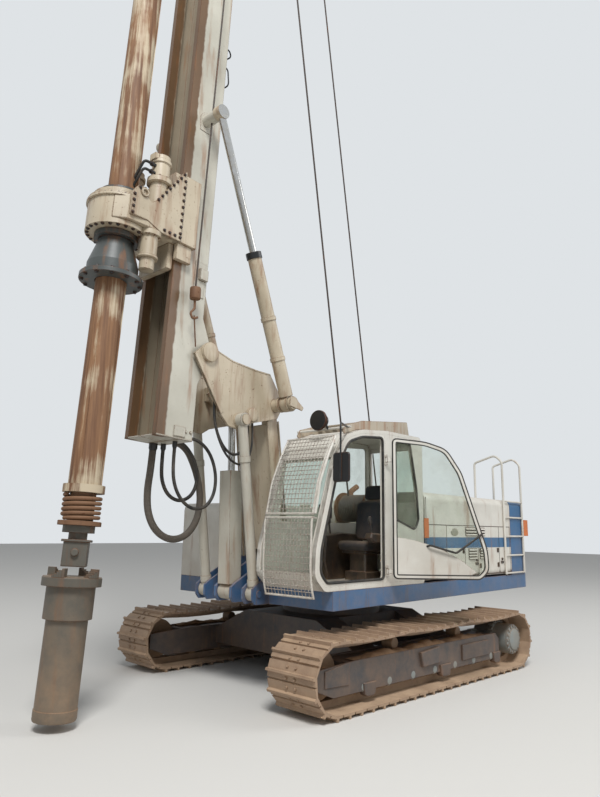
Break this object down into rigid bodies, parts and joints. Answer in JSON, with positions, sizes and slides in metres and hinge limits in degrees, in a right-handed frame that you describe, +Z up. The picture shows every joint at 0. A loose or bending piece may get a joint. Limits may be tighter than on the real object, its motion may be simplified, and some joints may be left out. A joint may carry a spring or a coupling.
{
  "type": "rotary piling rig",
  "caption": "Tracked rotary piling rig with a slewing house, glazed cab, folding mast on a link arm, crowd cylinder, rotary head, ribbed kelly bar and drilling bucket.",
  "frame": {"origin": "on the slewing axis at ground level", "axes": "+X to the front of the upper machine, +Y to the cab side, +Z up"},
  "size_m": [7.9007, 4.4491, 17.2278],
  "materials": {
    "white_paint": "worn off-white enamel with rust streaks",
    "blue_paint": "satin blue enamel",
    "dark_paint": "dusty dark grey enamel",
    "track_steel": "dry rust and dust",
    "rusty_steel": "rusty with worn pale ribs",
    "drum_steel": "greased steel",
    "chrome_rod": "polished",
    "cylinder_paint": "worn enamel",
    "cone_paint": "worn grey-green enamel",
    "window_glass": "clear"
  },
  "bodies": {
    "undercarriage": {"track_left": "track_steel", "track_right": "track_steel", "track_frame_left": "dark_paint", "track_frame_right": "dark_paint", "rollers_left": "track_steel", "rollers_right": "track_steel", "final_drive_left": "track_steel", "final_drive_right": "track_steel", "carbody": "dark_paint", "slew_ring": "track_steel"},
    "upper": {"deck": "blue_paint", "engine_house": "white_paint", "engine": "dark_paint", "counterweight": "white_paint", "right_house": "white_paint", "winch_frame": "dark_paint", "cab_shell": "white_paint", "cab_glass": "window_glass"},
    "cab_door": {"cab_door": "white_paint", "door_glass": "window_glass"},
    "main_winch": {"main_winch_drum": "drum_steel"},
    "aux_winch": {"aux_winch_drum": "drum_steel"},
    "arm": {"arm": "white_paint"},
    "tie_rods": {"tie_rods": "white_paint"},
    "lift_barrel": {"lift_barrel": "white_paint"},
    "lift_rod": {"lift_rod": "chrome_rod"},
    "bracket": {"bracket": "white_paint"},
    "luff_barrels": {"luff_barrels": "white_paint"},
    "luff_rods": {"luff_rods": "chrome_rod"},
    "mast": {"mast": "white_paint", "mast_head": "white_paint", "crowd_barrel": "cylinder_paint"},
    "sheave_front": {"sheave_front": "drum_steel"},
    "sheave_rear": {"sheave_rear": "drum_steel"},
    "sheave_aux": {"sheave_aux": "drum_steel"},
    "rotary": {"rotary_head": "white_paint"},
    "sleeve": {"drive_sleeve": "cone_paint"},
    "kelly": {"kelly_tube": "rusty_steel", "kelly_spring": "rusty_steel", "kelly_tool": "rusty_steel"}
  },
  "joints": [
    {"name": "slew", "type": "hinge", "parent": "undercarriage", "child": "upper", "pos_m": [0, 0, 0.967], "axis": [0, 0, 1], "continuous": true},
    {"name": "door", "type": "hinge", "parent": "upper", "child": "cab_door", "pos_m": [0.785, 1.524, 2.1], "axis": [0, 0, 1], "range_deg": [-136, 35]},
    {"name": "main_winch", "type": "hinge", "parent": "upper", "child": "main_winch", "pos_m": [-0.64, 0, 2.239], "axis": [0, 1, 0], "continuous": true},
    {"name": "aux_winch", "type": "hinge", "parent": "upper", "child": "aux_winch", "pos_m": [-1.37, 0, 2.239], "axis": [0, 1, 0], "continuous": true},
    {"name": "arm", "type": "hinge", "parent": "upper", "child": "arm", "pos_m": [1.35, 0, 1.427], "axis": [0, 1, 0], "range_deg": [-15, 10]},
    {"name": "tie_rods", "type": "hinge", "parent": "upper", "child": "tie_rods", "pos_m": [1.99, 0, 1.147], "axis": [0, 1, 0], "range_deg": [-15.01, 10.01]},
    {"name": "lift_barrel", "type": "hinge", "parent": "upper", "child": "lift_barrel", "pos_m": [1.99, 0, 1.147], "axis": [0, 1, 0], "range_deg": [-14.5, 9.8]},
    {"name": "lift_rod", "type": "slide", "parent": "lift_barrel", "child": "lift_rod", "axis": [0.0279, 0, 0.9996], "range_m": [-0.05, 0.07]},
    {"name": "bracket", "type": "hinge", "parent": "arm", "child": "bracket", "pos_m": [1.63, 0, 3.48], "axis": [0, 1, 0], "range_deg": [-10.01, 15.01]},
    {"name": "mast", "type": "hinge", "parent": "bracket", "child": "mast", "pos_m": [2.78, 0, 3.95], "axis": [0, 1, 0], "range_deg": [-84, 8]},
    {"name": "luff_barrels", "type": "hinge", "parent": "bracket", "child": "luff_barrels", "pos_m": [1.63, 0, 3.48], "axis": [0, 1, 0], "range_deg": [-83.3, 8]},
    {"name": "luff_rods", "type": "slide", "parent": "luff_barrels", "child": "luff_rods", "axis": [0.3557, 0, 0.9346], "range_m": [-1.66, 0.16]},
    {"name": "sheave_front", "type": "hinge", "parent": "mast", "child": "sheave_front", "pos_m": [3.00329, 0, 16.80869], "axis": [0, 1, 0], "continuous": true},
    {"name": "sheave_rear", "type": "hinge", "parent": "mast", "child": "sheave_rear", "pos_m": [2.38612, 0, 16.77677], "axis": [0, 1, 0], "continuous": true},
    {"name": "sheave_aux", "type": "hinge", "parent": "mast", "child": "sheave_aux", "pos_m": [2.1754, 0.42, 16.76588], "axis": [0, 1, 0], "continuous": true},
    {"name": "rotary", "type": "slide", "parent": "mast", "child": "rotary", "axis": [-0.0516, 0, 0.9987], "range_m": [-2.2, 0.7]},
    {"name": "sleeve", "type": "hinge", "parent": "rotary", "child": "sleeve", "pos_m": [3.93676, 0, 4.56555], "axis": [-0.0516, 0, 0.9987], "continuous": true},
    {"name": "kelly", "type": "slide", "parent": "sleeve", "child": "kelly", "axis": [-0.0516, 0, 0.9987], "range_m": [-8, 2.2]}
  ],
  "couplings": [
    {"joint": "tie_rods", "follows": "arm", "ratio": 1},
    {"joint": "lift_barrel", "follows": "arm", "ratio": 0.945},
    {"joint": "lift_rod", "follows": "arm", "m_per_rad": -0.2088},
    {"joint": "bracket", "follows": "arm", "ratio": -1},
    {"joint": "luff_barrels", "follows": "mast", "ratio": 0.98968},
    {"joint": "luff_rods", "follows": "mast", "m_per_rad": 1.1175}
  ]
}
